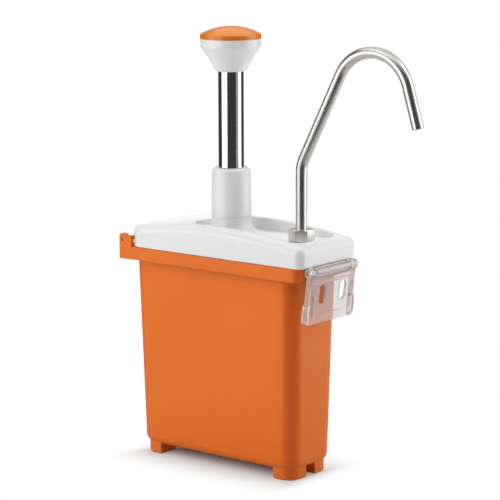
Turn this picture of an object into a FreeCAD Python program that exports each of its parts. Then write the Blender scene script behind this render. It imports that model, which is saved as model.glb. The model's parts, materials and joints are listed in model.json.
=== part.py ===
import FreeCAD, Part
import math
import os
from FreeCAD import Vector

# Container: tapered shell on four corner feet
foot_height = 11.0
foot_half_x = 103.5
foot_half_y = 33.6
foot_corner_r = 16.0
foot_length = 24.5
foot_width = 26.0
foot_root = 14.0
foot_edge_r = 2.5
base_half_x = 106.75
base_half_y = 36.6
body_height = 207.8
body_flare_x = 4.65
body_flare_y = 5.1
body_corner_r = 18.6
base_edge_r = 10.0
wall = 3.0
floor_thick = 3.5

# Rim: a flange with a skirt turned down round it
rim_height = 14.2
rim_left_reach = 122.0
rim_right_reach = 124.5
rim_half_y = 50.1
rim_left_corner_r = 4.0
rim_right_corner_r = 10.0
rim_wall = 3.0
rim_edge_r = 1.0

# Hinge lugs and pin at the left end of the rim
hinge_inset = 5.5
hinge_rise = 7.0
hinge_pin_r = 2.0
hinge_pin_recess = 1.0
lug_thick = 4.5
lug_head_r = 7.0
lug_length = 17.0
lug_prong = 3.5
lug_prong_rise = 12.0
lug_notch_rise = 9.0
knuckle_r = 5.5
knuckle_half = 27.0
knuckle_web = 5.0

# Lid: arched cover with a pocket for the pump and the spout
lid_seat_gap = 0.3
lid_hinge_offset = 6.0
lid_overhang = 3.1
lid_step = 0.8
lid_left_corner_r = 18.0
lid_right_corner_r = 9.6
lid_edge_r = 9.0
lid_foot_r = 0.8
lid_end_height = 21.3
lid_crown_height = 32.3
pocket_height = 19.2
pocket_half_y = 37.0
pocket_right_inset = 15.6
pocket_left_r = 34.0
pocket_right_r = 14.0
pocket_lip_r = 1.5
pocket_edge_r = 3.0
deck = 3.0
lip_depth = 8.0
lip_thick = 2.5
lip_gap = 1.0
gasket_height = 2.4
gasket_width = 5.0
gasket_gap = 0.8

# Latch: clear clip hanging on a pin held by two lid lugs
latch_pin_offset = 6.0
latch_pin_drop = 4.7
latch_pin_r = 1.5
latch_barrel_r = 5.3
latch_barrel_half = 40.0
latch_lug_r = 2.7
latch_lug_inner = 30.0
latch_lug_thick = 3.2
latch_lug_gap = 0.6
latch_side_gap = 0.4
latch_notch_depth = 3.6
latch_plate = 2.2
latch_plate_offset = 2.0
latch_head = 1.6
latch_drop = 55.2
latch_lean = 6.8
latch_half_upper = 38.0
latch_half_lower = 41.0
latch_step_drop = 31.3
latch_flange_depth = 5.0
latch_flange_thick = 2.0
latch_corner_r = 6.0
latch_slot_y = 17.5
latch_slot_width = 9.4
latch_slot_length = 20.5
latch_slot_drop = 14.0
latch_rib_y = 31.5
latch_rib_width = 4.0
latch_rib_height = 1.4
latch_rib_length = 30.0
latch_rib_drop = 16.5
latch_grip_half = 15.0
latch_grip_width = 1.8
latch_grip_rise = 9.4
latch_catch_height = 2.0
latch_catch_drop = 10.6

# Pump: tower, bush and cylinder on one upright axis
pump_x = -4.0
tower_height = 71.4
tower_top_r = 20.6
tower_foot_r = 21.4
tower_flare_r = 29.0
tower_flare_height = 17.0
tower_flange = 1.0
tower_edge_r = 4.0
tower_line_height = 19.0
tower_line_depth = 0.6
tower_line_width = 1.0
plunger_gap = 0.8
thread_gap = 0.2
wiper_r = 17.0
wiper_height = 4.0
wiper_inset = 1.0
neck_r = 18.0
neck_height = 32.0
bore_r = 15.5
barrel_r = 19.0
barrel_flange_r = 25.0
barrel_flange = 3.0
seal_thick = 1.5
bush_flange = 3.0
running_gap = 0.05
fit_gap = 0.05
rest_gap = 0.3

# Plunger: knob, steel tube and piston
plunger_r = 13.6
plunger_wall = 1.2
knob_clear = 33.1
knob_socket = 20.0
knob_lip_r = 14.6
knob_neck_r = 18.4
knob_neck_height = 4.4
knob_mid_r = 22.4
knob_mid_height = 12.4
knob_r = 32.2
knob_flare_height = 26.2
knob_band_r = 1.5
knob_height = 34.8
knob_well_r = 28.5
knob_well = 5.0
cap_r = 32.6
cap_band = 4.7
cap_dome = 8.4
cap_edge_r = 1.8
cap_spigot = 3.5
plug_length = 16.0
screw_r = 4.0
screw_length = 18.0
screw_head_r = 7.0
screw_head = 4.5
socket_r = 2.6
socket_depth = 2.5
piston_length = 22.0
piston_spigot = 20.0
piston_groove = 2.4
piston_groove_depth = 2.0
piston_groove_inset = 4.0
piston_pin_r = 2.0
piston_pin_height = 10.0

# Return spring under the piston
spring_wire_r = 1.0
spring_mean_r = 12.6
spring_turns = 7
spring_room = 25.7

# Foot valve below the cylinder
valve_spigot = 9.0
valve_block = 18.0
valve_stem_r = 11.0
valve_stem = 20.0
valve_chamber_r = 11.0
valve_ball_r = 6.0
valve_seat_r = 4.6
valve_cage_r = 7.2
valve_socket_depth = 12.0
valve_seat_depth = 4.0
valve_outlet_r = 4.5
valve_outlet_stub = 9.0
valve_stub_r = 6.9
ball_lift = 4.0
ball_gap = 0.1
stop_thick = 2.5
stop_hole_r = 3.2
stop_hole_ring_r = 7.0
stop_hole_count = 4

# Pickup tube and strainer, turned towards the hinge so that the lid can swing
pickup_r = 6.0
pickup_wall = 1.5
pickup_bend_r = 14.0
pickup_drop = 18.0
pickup_slope = 10.0
pickup_x = -78.0
pickup_tail = 22.0
pickup_floor_gap = 7.5
strainer_r = 8.6
strainer_height = 16.0
strainer_cap = 2.0
strainer_wall = 2.0
strainer_grip = 8.0
strainer_slot_width = 3.0
strainer_slot_height = 5.0
strainer_slot_count = 6

# Discharge tube from the valve to the spout
discharge_r = 7.0
discharge_wall = 1.8
discharge_bend_r = 24.0
discharge_run = 30.0
discharge_top_drop = 20.0

# Spout: fitting, nut and bent tube
spout_x = 90.8
spout_r = 6.0
spout_wall = 1.0
spout_corner_rise = 81.5
spout_corner_r = 30.0
spout_slant = 109.5
spout_crook_r = 45.8
spout_tip_run = 43.2
spout_lean = math.radians(27.2)
spout_tip_lean = math.radians(16.8)
spout_insert = 18.0
fitting_r = 10.0
fitting_flange_r = 14.0
fitting_flange = 3.0
fitting_drop = 36.0
fitting_thread_r = 8.0
fitting_thread = 9.0
fitting_socket = 10.0
fitting_seat = 4.0
outlet_ball_r = 5.5
outlet_seat_r = 4.3
outlet_cage_r = 6.7
outlet_pin_r = 1.0
washer_r = 13.4
washer_thick = 1.0
nut_flats = 24.0
nut_height = 13.0
nut_chamfer = 1.4
nut_lip = 3.0
nut_turn = math.radians(5.0)
ferrule_face = 0.4
hex_sides = 6

# Shared cutting overrun and tolerance
over = 1.0
near = 0.001

# Heights and places worked out from the sizes above
shoulder_z = foot_height + body_height
rim_top_z = shoulder_z + rim_height
hinge_x = hinge_inset - rim_left_reach
hinge_z = rim_top_z + hinge_rise
lid_z = rim_top_z + lid_seat_gap
lid_left_x = hinge_x + lid_hinge_offset
lid_right_x = rim_right_reach + lid_overhang
lid_half_y = rim_half_y - lid_step
pocket_z = lid_z + pocket_height
deck_z = pocket_z - deck
tower_top_z = pocket_z + tower_height
barrel_top_z = deck_z - seal_thick
strainer_z = foot_height + floor_thick + pickup_floor_gap
pickup_end_z = strainer_z + strainer_height - strainer_grip
valve_end_z = pickup_end_z + pickup_tail + pickup_slope + pickup_drop
valve_stem_z = valve_end_z + valve_stem
barrel_end_z = valve_stem_z + valve_block
neck_top_z = pocket_z + neck_height
bush_end_z = barrel_top_z - barrel_flange
piston_top_z = bush_end_z - rest_gap
piston_end_z = piston_top_z - piston_length
valve_top_z = barrel_end_z + valve_spigot
stroke = piston_end_z - spring_room - valve_top_z
knob_z = tower_top_z + stroke + knob_clear
cap_z = knob_z + knob_height
valve_seat_z = valve_end_z + valve_socket_depth + valve_seat_depth
inlet_ball_z = valve_seat_z + math.sqrt(valve_ball_r ** 2 - valve_seat_r ** 2) + ball_gap
stop_z = inlet_ball_z + valve_ball_r + ball_lift + ball_gap
outlet_z = (barrel_end_z + valve_stem_z) / 2
fitting_top_z = deck_z - seal_thick
fitting_end_z = fitting_top_z - fitting_drop
outlet_seat_z = fitting_end_z + fitting_socket + fitting_seat
outlet_ball_z = outlet_seat_z + math.sqrt(outlet_ball_r ** 2 - outlet_seat_r ** 2) + ball_gap
outlet_pin_z = outlet_ball_z + outlet_ball_r + ball_lift + ball_gap + outlet_pin_r
nut_z = pocket_z + washer_thick
thread_top_z = nut_z + fitting_thread
spout_corner_z = pocket_z + spout_corner_rise
latch_x = rim_right_reach + latch_pin_offset
latch_z = rim_top_z - latch_pin_drop


def spout_points():
    """Ends of the spout's straight runs and the middle of its crook."""
    corner = Vector(spout_x, 0, spout_corner_z)
    slant = Vector(math.sin(spout_lean), 0, math.cos(spout_lean))
    crook = corner + slant * spout_slant
    centre = crook + Vector(math.cos(spout_lean), 0, -math.sin(spout_lean)) * spout_crook_r
    far = centre + Vector(math.cos(spout_tip_lean), 0, math.sin(spout_tip_lean)) * spout_crook_r
    half_turn = (spout_tip_lean - spout_lean) / 2
    crest = centre + Vector(math.sin(half_turn), 0, math.cos(half_turn)) * spout_crook_r
    tip = far + Vector(math.sin(spout_tip_lean), 0, -math.cos(spout_tip_lean)) * spout_tip_run
    return corner, crook, crest, far, tip


spout_tip_x = spout_points()[-1].x + spout_r * math.cos(spout_tip_lean)
frame_x = (rim_left_reach - spout_tip_x) / 2


def save(name, shape):
    """Write one piece, moved so that the middle of the whole object's box is the origin."""
    placed = shape.copy()
    placed.translate(Vector(frame_x, 0, 0))
    placed.exportStep("parts/" + name + ".step")


def corner_arc(centre_x, centre_y, radius, start, z):
    """A quarter circle in plan, from the start angle counter-clockwise."""
    points = []
    for step_share in (0.0, 0.5, 1.0):
        angle = start + step_share * math.pi / 2
        points.append(Vector(centre_x + radius * math.cos(angle), centre_y + radius * math.sin(angle), z))
    return points


def plan_wire(left, right, half_y, left_r, right_r, z):
    """A rectangle in plan with rounded corners, centred across."""
    corners = [
        corner_arc(right - right_r, half_y - right_r, right_r, 0, z),
        corner_arc(left + left_r, half_y - left_r, left_r, math.pi / 2, z),
        corner_arc(left + left_r, left_r - half_y, left_r, math.pi, z),
        corner_arc(right - right_r, right_r - half_y, right_r, 1.5 * math.pi, z),
    ]
    edges = []
    for index, arc in enumerate(corners):
        following = corners[(index + 1) % len(corners)]
        edges.append(Part.Arc(*arc).toShape())
        edges.append(Part.makeLine(arc[-1], following[0]))
    return Part.Wire(edges)


def slab(wire, height):
    """A plan outline raised by a height."""
    return Part.Face(wire).extrude(Vector(0, 0, height))


def rod(radius, z_low, z_high, x=0.0):
    """An upright round bar."""
    return Part.makeCylinder(radius, z_high - z_low, Vector(x, 0, z_low))


def cross_rod(radius, half_length, x, z):
    """A round bar across the object, centred on its middle plane."""
    return Part.makeCylinder(radius, 2 * half_length, Vector(x, -half_length, z), Vector(0, 1, 0))


def ring(outer, inner, z_low, z_high, x=0.0):
    """An upright round tube."""
    return rod(outer, z_low, z_high, x).cut(rod(inner, z_low - over, z_high + over, x))


def turned(edges, x):
    """A profile of edges in the plane of the lid's length, turned round the upright axis at x."""
    face = Part.Face(Part.Wire(edges))
    return face.revolve(Vector(x, 0, 0), Vector(0, 0, 1), math.degrees(2 * math.pi))


def line_chain(points):
    """Straight edges through points."""
    return [Part.makeLine(a, b) for a, b in zip(points, points[1:])]


def block(x_low, x_high, half_y, z_low, z_high):
    """A box centred across the object."""
    return Part.makeBox(x_high - x_low, 2 * half_y, z_high - z_low, Vector(x_low, -half_y, z_low))


def side_plate(points, y_low, y_high):
    """A straight-sided outline in the plane of the lid's length, raised across the object."""
    face = Part.Face(Part.makePolygon(points + points[:1]))
    face.translate(Vector(0, y_low, 0))
    return face.extrude(Vector(0, y_high - y_low, 0))


def tube_path(points, radii):
    """Straight runs joined by tangent arcs; one radius for each inner point."""
    edges = []
    start = points[0]
    for before, here, after, radius in zip(points, points[1:], points[2:], radii):
        into = (here - before).normalize()
        out = (after - here).normalize()
        turn = into.getAngle(out)
        setback = radius * math.tan(turn / 2)
        first = here - into * setback
        last = here + out * setback
        inward = (out - into).normalize()
        middle = here + inward * (radius / math.cos(turn / 2) - radius)
        edges.append(Part.makeLine(start, first))
        edges.append(Part.Arc(first, middle, last).toShape())
        start = last
    edges.append(Part.makeLine(start, points[-1]))
    return edges


def swept(edges, radius):
    """A round bar along a chain of tangent edges."""
    wire = Part.Wire(edges)
    first = edges[0]
    direction = first.tangentAt(first.FirstParameter)
    circle = Part.Wire(Part.makeCircle(radius, first.valueAt(first.FirstParameter), direction))
    return wire.makePipeShell([circle], True, False)


def pipe(edges, radius, thick):
    """A bent tube with an open bore."""
    return swept(edges, radius).cut(swept(edges, radius - thick))


def body_half(z):
    """Outer half sizes of the tapered shell at a height."""
    share = (z - foot_height) / body_height
    return base_half_x + body_flare_x * share, base_half_y + body_flare_y * share


def taper(z_low, z_high, inset):
    """The tapered body between two heights, drawn in by an inset."""
    wires = []
    for z in (z_low, z_high):
        half_x, half_y = body_half(z)
        radius = body_corner_r - inset
        wires.append(plan_wire(inset - half_x, half_x - inset, half_y - inset, radius, radius, z))
    return Part.makeLoft(wires, True, True)


def edges_at(shape, z):
    """Edges of a shape that lie at one height."""
    found = []
    for edge in shape.Edges:
        box = edge.BoundBox
        if abs(box.ZMin - z) < near and abs(box.ZMax - z) < near:
            found.append(edge)
    return found


def hinge_lug(side):
    """One hinge lug: a round head over the pin, a notch, and a low prong beside the lid."""
    left = -rim_left_reach
    right = left + lug_length
    low = shoulder_z
    notch_z = rim_top_z + lug_notch_rise
    prong_z = rim_top_z + lug_prong_rise
    y_outer = side * rim_half_y
    y_inner = side * (rim_half_y - lug_thick)
    y_low = min(y_outer, y_inner)
    y_high = max(y_outer, y_inner)
    points = [
        Vector(left, 0, low),
        Vector(right, 0, low),
        Vector(right, 0, prong_z),
        Vector(right - lug_prong, 0, prong_z),
        Vector(right - lug_prong - lug_prong, 0, notch_z),
        Vector(hinge_x, 0, hinge_z + lug_head_r),
        Vector(left, 0, hinge_z),
    ]
    plate = side_plate(points, y_low, y_high)
    head_r = lug_head_r
    head = Part.makeCylinder(head_r, lug_thick, Vector(hinge_x, y_low, hinge_z), Vector(0, 1, 0))
    head = head.common(block(left, right, rim_half_y, low, hinge_z + 2 * head_r))
    return plate.fuse(head)


def make_foot_group():
    """Four corner feet that follow the rounded plan of the base."""
    height = foot_height + foot_root
    outline = plan_wire(-foot_half_x, foot_half_x, foot_half_y, foot_corner_r, foot_corner_r, 0)
    plan = slab(outline, height)
    gap_x = foot_half_x - foot_length
    gap_y = foot_half_y - foot_width
    cross_x = block(-gap_x, gap_x, foot_half_y + over, -over, height + over)
    cross_y = block(-foot_half_x - over, foot_half_x + over, gap_y, -over, height + over)
    feet = plan.cut(cross_x).cut(cross_y)
    return feet.makeFillet(foot_edge_r, edges_at(feet, 0))


def make_container():
    """The orange moulding: shell, rim with its turned-down skirt, hinge lugs and feet."""
    body = taper(foot_height, rim_top_z, 0.0)
    body = body.makeFillet(base_edge_r, edges_at(body, foot_height))
    rim = slab(plan_wire(-rim_left_reach, rim_right_reach, rim_half_y,
                         rim_left_corner_r, rim_right_corner_r, shoulder_z), rim_height)
    rim = rim.makeFillet(rim_edge_r, edges_at(rim, shoulder_z) + edges_at(rim, rim_top_z))
    under = slab(plan_wire(rim_wall - rim_left_reach, rim_right_reach - rim_wall, rim_half_y - rim_wall,
                           rim_left_corner_r - rim_wall, rim_right_corner_r - rim_wall, shoulder_z - over),
                 rim_height - rim_wall + over)
    floor_z = foot_height + floor_thick
    cavity = taper(floor_z, rim_top_z + over, wall)
    cavity = cavity.makeFillet(base_edge_r - wall, edges_at(cavity, floor_z))
    shell = body.fuse([rim.cut(under), make_foot_group(), hinge_lug(-1), hinge_lug(1)])
    shell = shell.cut(cavity)
    return shell.cut(cross_rod(hinge_pin_r + fit_gap, rim_half_y + over, hinge_x, hinge_z)).removeSplitter()


def make_hinge_pin():
    """Steel pin through both lugs and the lid's knuckle."""
    return cross_rod(hinge_pin_r, rim_half_y - hinge_pin_recess, hinge_x, hinge_z)


def lid_outline(inset, z):
    """Plan of the lid, drawn in by an inset."""
    return plan_wire(lid_left_x + inset, lid_right_x - inset, lid_half_y - inset,
                     lid_left_corner_r - inset, lid_right_corner_r - inset, z)


def lid_arch(drop):
    """Side view of the lid raised across it: one long arch, lowered by a drop."""
    low = rim_top_z - lip_depth - over
    end_z = lid_z + lid_end_height - drop
    left = Vector(lid_left_x - over, 0, end_z)
    right = Vector(lid_right_x + over, 0, end_z)
    crown = Vector((left.x + right.x) / 2, 0, lid_z + lid_crown_height - drop)
    edges = line_chain([right, Vector(right.x, 0, low), Vector(left.x, 0, low), left])
    edges.append(Part.Arc(left, crown, right).toShape())
    face = Part.Face(Part.Wire(edges))
    face.translate(Vector(0, -lid_half_y - over, 0))
    return face.extrude(Vector(0, 2 * (lid_half_y + over), 0))


def pocket_wire(grow, z):
    """Plan of the pocket: round about the pump, square towards the spout end."""
    return plan_wire(pump_x - pocket_half_y - grow, lid_right_x - pocket_right_inset + grow,
                     pocket_half_y + grow, pocket_left_r + grow, pocket_right_r + grow, z)


def lid_hollow():
    """Room under the lid's top, inside its lip and round the walls of the pocket."""
    half_x, half_y = body_half(rim_top_z)
    inset = wall + lip_gap + lip_thick
    corner_r = body_corner_r - inset
    room = slab(plan_wire(inset - half_x, half_x - inset, half_y - inset, corner_r, corner_r,
                          rim_top_z - lip_depth - over), lip_depth + lid_crown_height)
    boss = slab(pocket_wire(wall, deck_z), lid_crown_height)
    return room.common(lid_arch(deck)).cut(boss)


def rim_edges(shape):
    """Edges where the lid's top meets its upright sides."""
    outline = lid_outline(0.0, 0.0)
    found = []
    for edge in shape.Edges:
        if edge.BoundBox.ZMin < lid_z + lid_end_height / 2:
            continue
        middle = edge.valueAt((edge.FirstParameter + edge.LastParameter) / 2)
        if outline.distToShape(Part.Vertex(middle.x, middle.y, 0))[0] < near:
            found.append(edge)
    return found


def make_knuckle():
    """Hinge barrel on the lid's left end, with its web."""
    barrel = cross_rod(knuckle_r, knuckle_half, hinge_x, hinge_z)
    web = block(hinge_x, lid_left_x + wall, knuckle_half, hinge_z - knuckle_web, hinge_z + knuckle_web)
    bore = cross_rod(hinge_pin_r + running_gap, knuckle_half + over, hinge_x, hinge_z)
    return barrel.fuse(web), bore


def latch_lugs():
    """Two lugs that reach down from under the lid's right end and hold the latch pin."""
    foot_left = rim_right_reach + latch_lug_gap
    foot_z = lid_z + over
    reach = Vector((foot_left + lid_right_x) / 2 - latch_x, 0, lid_z - latch_z).normalize()
    side_step = Vector(reach.z, 0, -reach.x) * latch_lug_r
    head = Vector(latch_x, 0, latch_z)
    points = [head + side_step, Vector(lid_right_x, 0, foot_z), Vector(foot_left, 0, foot_z),
              head - side_step]
    solids = []
    for side in (-1, 1):
        y_low = min(side * latch_lug_inner, side * (latch_lug_inner + latch_lug_thick))
        solids.append(side_plate(points, y_low, y_low + latch_lug_thick))
        solids.append(Part.makeCylinder(latch_lug_r, latch_lug_thick, Vector(latch_x, y_low, latch_z),
                                        Vector(0, 1, 0)))
    return solids


def lid_shell():
    """The lid's outside: arched top with rounded edges and the pocket let into it."""
    arched = slab(lid_outline(0.0, lid_z), lid_crown_height + over).common(lid_arch(0.0))
    arched = arched.makeFillet(lid_edge_r, rim_edges(arched))
    arched = arched.makeFillet(lid_foot_r, edges_at(arched, lid_z))
    pocket = slab(pocket_wire(0.0, pocket_z), lid_crown_height)
    pocket = pocket.makeFillet(pocket_edge_r, edges_at(pocket, pocket_z))
    shell = arched.cut(pocket)
    return shell.makeFillet(pocket_lip_r, pocket_edges(shell))


def pocket_edges(shape):
    """Edges where the pocket's walls meet the lid's top."""
    outline = pocket_wire(0.0, 0.0)
    found = []
    for edge in shape.Edges:
        if edge.BoundBox.ZMin < pocket_z + pocket_edge_r + near:
            continue
        middle = edge.valueAt((edge.FirstParameter + edge.LastParameter) / 2)
        upright = edge.BoundBox.XLength + edge.BoundBox.YLength < near
        if not upright and outline.distToShape(Part.Vertex(middle.x, middle.y, 0))[0] < near:
            found.append(edge)
    return found


def make_lid():
    """The white lid: arched shell with a pocket, a plug lip and the two hinges' ears."""
    half_x, half_y = body_half(rim_top_z)
    lip_inset = wall + lip_gap
    lip_r = body_corner_r - lip_inset
    lip = slab(plan_wire(lip_inset - half_x, half_x - lip_inset, half_y - lip_inset, lip_r, lip_r,
                         rim_top_z - lip_depth), lip_depth + wall)
    groove = slab(gasket_wire(0.0, gasket_gap / 2, lid_z - over), over + gasket_height + gasket_gap / 2)
    inner = slab(gasket_wire(gasket_width, -gasket_gap / 2, lid_z - over), over + gasket_height + over)
    knuckle, knuckle_bore = make_knuckle()
    shell = lid_shell().fuse([lip, knuckle] + latch_lugs())
    cuts = [lid_hollow(), groove.cut(inner), knuckle_bore,
            cross_rod(latch_pin_r + fit_gap, lid_half_y, latch_x, latch_z),
            rod(neck_r + thread_gap, deck_z - over, pocket_z + over, pump_x),
            rod(fitting_thread_r + thread_gap, deck_z - over, pocket_z + over, spout_x)]
    return shell.cut(cuts).removeSplitter()


def gasket_wire(inset, grow, z):
    """Plan of the lid gasket's outer side, drawn in by an inset."""
    half_x, half_y = body_half(rim_top_z)
    out = gasket_width - wall + gasket_gap - inset + grow
    radius = body_corner_r + out
    return plan_wire(-half_x - out + gasket_width, half_x + out, half_y + out,
                     radius - gasket_width, radius, z)


def make_lid_gasket():
    """Silicone ring that the lid presses on the rim."""
    outer = slab(gasket_wire(0.0, 0.0, lid_z), gasket_height)
    return outer.cut(slab(gasket_wire(gasket_width, 0.0, lid_z - over), gasket_height + 2 * over))


def latch_section(offset, thick, z_low, z_high):
    """Side view of a leaning strip of the clip: outer face at an offset, between two heights."""
    def face_x(z):
        return latch_x + latch_plate_offset + latch_plate - offset - latch_lean * (latch_z - z) / latch_drop
    return [Vector(face_x(z_low), 0, z_low), Vector(face_x(z_high), 0, z_high),
            Vector(face_x(z_high) - thick, 0, z_high), Vector(face_x(z_low) - thick, 0, z_low)]


def latch_front():
    """Front view of the clip as a cutter: stepped sides, rounded lower corners and rounded shoulders."""
    top = latch_z + latch_head
    step = latch_z - latch_step_drop
    low = latch_z - latch_drop
    upper = slab_across(latch_half_upper, step - latch_corner_r, top, latch_corner_r)
    lower = slab_across(latch_half_lower, low, step, latch_corner_r)
    return upper.fuse(lower)


def slab_across(half_y, z_low, z_high, radius):
    """A rounded rectangle in front view, raised along the object's length through the clip."""
    wire = plan_wire(z_low, z_high, half_y, radius, radius, 0)
    reach = latch_lean + latch_plate + latch_barrel_r + latch_flange_depth + 2 * latch_pin_offset
    solid = slab(wire, reach + latch_rib_height)
    solid.rotate(Vector(0, 0, 0), Vector(0, 1, 0), -math.degrees(math.pi / 2))
    solid.translate(Vector(latch_x + latch_plate_offset + latch_plate + latch_rib_height + over, 0, 0))
    return solid


def make_latch_clip():
    """The clear clip: leaning plate with flanged sides, hinge barrel, two slots, ribs and a catch."""
    top = latch_z + latch_head
    low = latch_z - latch_drop
    flange_top = latch_z - latch_pin_drop
    plate = side_plate(latch_section(0.0, latch_plate, low, top), -latch_half_lower, latch_half_lower)
    plate = plate.common(latch_front())
    flange = side_plate(latch_section(latch_plate / 2, latch_flange_depth + latch_plate / 2, low, flange_top),
                        -latch_half_lower, latch_half_lower)
    inner = latch_half_upper - latch_flange_thick
    hollow = block(latch_x - latch_drop, latch_x + latch_drop, inner, low - over, flange_top + over)
    flange = flange.common(latch_front()).cut(hollow)
    half_barrel = latch_lug_inner - latch_side_gap
    barrel = cross_rod(latch_barrel_r, latch_barrel_half, latch_x, latch_z).cut(latch_rooms())
    catch_z = latch_z - latch_catch_drop
    catch = side_plate(latch_section(latch_plate / 2, latch_flange_depth + latch_plate / 2,
                                     catch_z - latch_catch_height, catch_z), -half_barrel, half_barrel)
    clip = plate.fuse([flange, barrel, catch] + latch_ribs())
    slots = upright_pair(latch_slot_y, latch_slot_width, latch_slot_length, latch_slot_drop)
    bore = cross_rod(latch_pin_r + running_gap, latch_half_lower, latch_x, latch_z)
    return clip.cut(slots + latch_notches() + [bore]).removeSplitter()


def upright_pair(y_mid, width, length, drop):
    """Two upright round-ended bars through the clip, one on each side, that start below its pin."""
    top = latch_z - drop
    bars = []
    for side in (-1, 1):
        bar = slab_across(width / 2, top - length, top, width / 2 - near)
        bar.translate(Vector(0, side * y_mid, 0))
        bars.append(bar)
    return bars


def latch_ribs():
    """Raised ribs on the clip's outer face: one up each side and a short one across for the finger."""
    low = latch_z - latch_drop
    skin = side_plate(latch_section(-latch_rib_height, latch_rib_height + latch_plate / 2, low, latch_z),
                      -latch_half_upper, latch_half_upper)
    grip_z = low + latch_grip_rise
    grip = slab_across(latch_grip_half, grip_z - latch_grip_width / 2, grip_z + latch_grip_width / 2,
                       latch_grip_width / 2 - near)
    bars = upright_pair(latch_rib_y, latch_rib_width, latch_rib_length, latch_rib_drop) + [grip]
    return [skin.common(bar) for bar in bars]


def lug_gaps(x_low, z_low, length):
    """Two blocks as wide as the lid's lugs and their gaps, raised from a low corner."""
    blocks = []
    width = latch_lug_thick + 2 * latch_side_gap
    for side in (-1, 1):
        y_mid = side * (latch_lug_inner + latch_lug_thick / 2)
        blocks.append(Part.makeBox(length, width, length, Vector(x_low, y_mid - width / 2, z_low)))
    return blocks


def latch_rooms():
    """Gaps in the clip's barrel for the lid's two lugs."""
    return lug_gaps(latch_x - latch_drop / 2, latch_z - latch_drop / 2, latch_drop)


def latch_notches():
    """Gaps in the clip's upper edge for the lid's two lugs, over the whole swing."""
    return lug_gaps(latch_x, latch_z - latch_notch_depth, latch_drop)


def make_latch_pin():
    """Steel pin of the clip, held in the lid's two lugs."""
    return cross_rod(latch_pin_r, latch_barrel_half - hinge_pin_recess, latch_x, latch_z)


def make_tower():
    """White pump tower: slightly conical sleeve with a flared foot, screwed on the cylinder's neck."""
    flare_z = pocket_z + tower_flange
    flare_top = flare_z + tower_flare_height
    wide = pump_x + tower_flare_r
    foot = pump_x + tower_foot_r
    top = pump_x + tower_top_r
    bend_share = 0.3
    bend = Vector(foot + (wide - foot) * bend_share, 0, flare_z + tower_flare_height * bend_share)
    edges = line_chain([Vector(pump_x, 0, pocket_z), Vector(wide, 0, pocket_z), Vector(wide, 0, flare_z)])
    edges.append(Part.Arc(Vector(wide, 0, flare_z), bend, Vector(foot, 0, flare_top)).toShape())
    edges += line_chain([Vector(foot, 0, flare_top), Vector(top, 0, tower_top_z),
                         Vector(pump_x, 0, tower_top_z), Vector(pump_x, 0, pocket_z)])
    sleeve = turned(edges, pump_x)
    sleeve = sleeve.makeFillet(tower_edge_r, edges_at(sleeve, tower_top_z))
    step_z = neck_top_z + bush_flange + fit_gap
    line_z = pocket_z + tower_line_height
    wiper_z = tower_top_z - wiper_height - wiper_inset
    cuts = [rod(neck_r + thread_gap, pocket_z - over, step_z, pump_x),
            rod(plunger_r + plunger_gap, step_z - over, tower_top_z + over, pump_x),
            rod(wiper_r + fit_gap, wiper_z, tower_top_z + over, pump_x),
            ring(tower_flare_r, tower_foot_r - tower_line_depth, line_z, line_z + tower_line_width, pump_x)]
    return sleeve.cut(cuts)


def make_wiper():
    """Wiper ring round the plunger in the tower's mouth."""
    low = tower_top_z - wiper_height - wiper_inset
    return ring(wiper_r, plunger_r + running_gap, low, low + wiper_height, pump_x)


def make_bush():
    """Guide bush in the cylinder's neck; its lower end stops the piston."""
    sleeve = rod(bore_r - fit_gap, bush_end_z, neck_top_z + bush_flange, pump_x)
    flange = rod(neck_r, neck_top_z, neck_top_z + bush_flange, pump_x)
    bore = rod(plunger_r + running_gap, bush_end_z - over, neck_top_z + 2 * bush_flange, pump_x)
    return sleeve.fuse(flange).cut(bore).removeSplitter()


def make_cylinder():
    """Pump cylinder: neck through the lid, flange under it and the working barrel."""
    neck = rod(neck_r, barrel_top_z - barrel_flange, neck_top_z, pump_x)
    flange = rod(barrel_flange_r, barrel_top_z - barrel_flange, barrel_top_z, pump_x)
    barrel = rod(barrel_r, barrel_end_z, barrel_top_z, pump_x)
    bore = rod(bore_r, barrel_end_z - over, neck_top_z + over, pump_x)
    return barrel.fuse([flange, neck]).cut(bore).removeSplitter()


def make_cylinder_gasket():
    """Flat seal between the cylinder's flange and the lid."""
    return ring(barrel_flange_r, neck_r + thread_gap, barrel_top_z, deck_z, pump_x)


def make_foot_valve():
    """Valve block under the cylinder: ball seat, chamber and side outlet."""
    spigot = rod(bore_r - fit_gap, barrel_end_z, valve_top_z, pump_x)
    body = rod(barrel_r, valve_stem_z, barrel_end_z, pump_x)
    stem = rod(valve_stem_r, valve_end_z, valve_stem_z, pump_x)
    stub_end = pump_x + barrel_r + valve_outlet_stub
    centre = Vector(pump_x, 0, outlet_z)
    stub = Part.makeCylinder(valve_stub_r, stub_end - pump_x, centre, Vector(1, 0, 0))
    solid = spigot.fuse([body, stem, stub])
    bore = Part.makeCylinder(valve_outlet_r, stub_end - pump_x + over, centre, Vector(1, 0, 0))
    cuts = [rod(pickup_r + fit_gap, valve_end_z - over, valve_end_z + valve_socket_depth, pump_x),
            rod(valve_seat_r, valve_end_z, valve_seat_z + over, pump_x),
            rod(valve_cage_r, valve_seat_z, stop_z, pump_x),
            rod(valve_chamber_r, stop_z, valve_top_z + over, pump_x), bore]
    return solid.cut(cuts).removeSplitter()


def make_ball_stop():
    """Holed disc that keeps the inlet ball near its seat."""
    disc = rod(valve_chamber_r - fit_gap, stop_z, stop_z + stop_thick, pump_x)
    holes = []
    for index in range(stop_hole_count):
        angle = 2 * math.pi * (index + 0.5) / stop_hole_count
        centre = Vector(pump_x + stop_hole_ring_r * math.cos(angle), stop_hole_ring_r * math.sin(angle),
                        stop_z - over)
        holes.append(Part.makeCylinder(stop_hole_r, stop_thick + 2 * over, centre))
    return disc.cut(holes)


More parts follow.
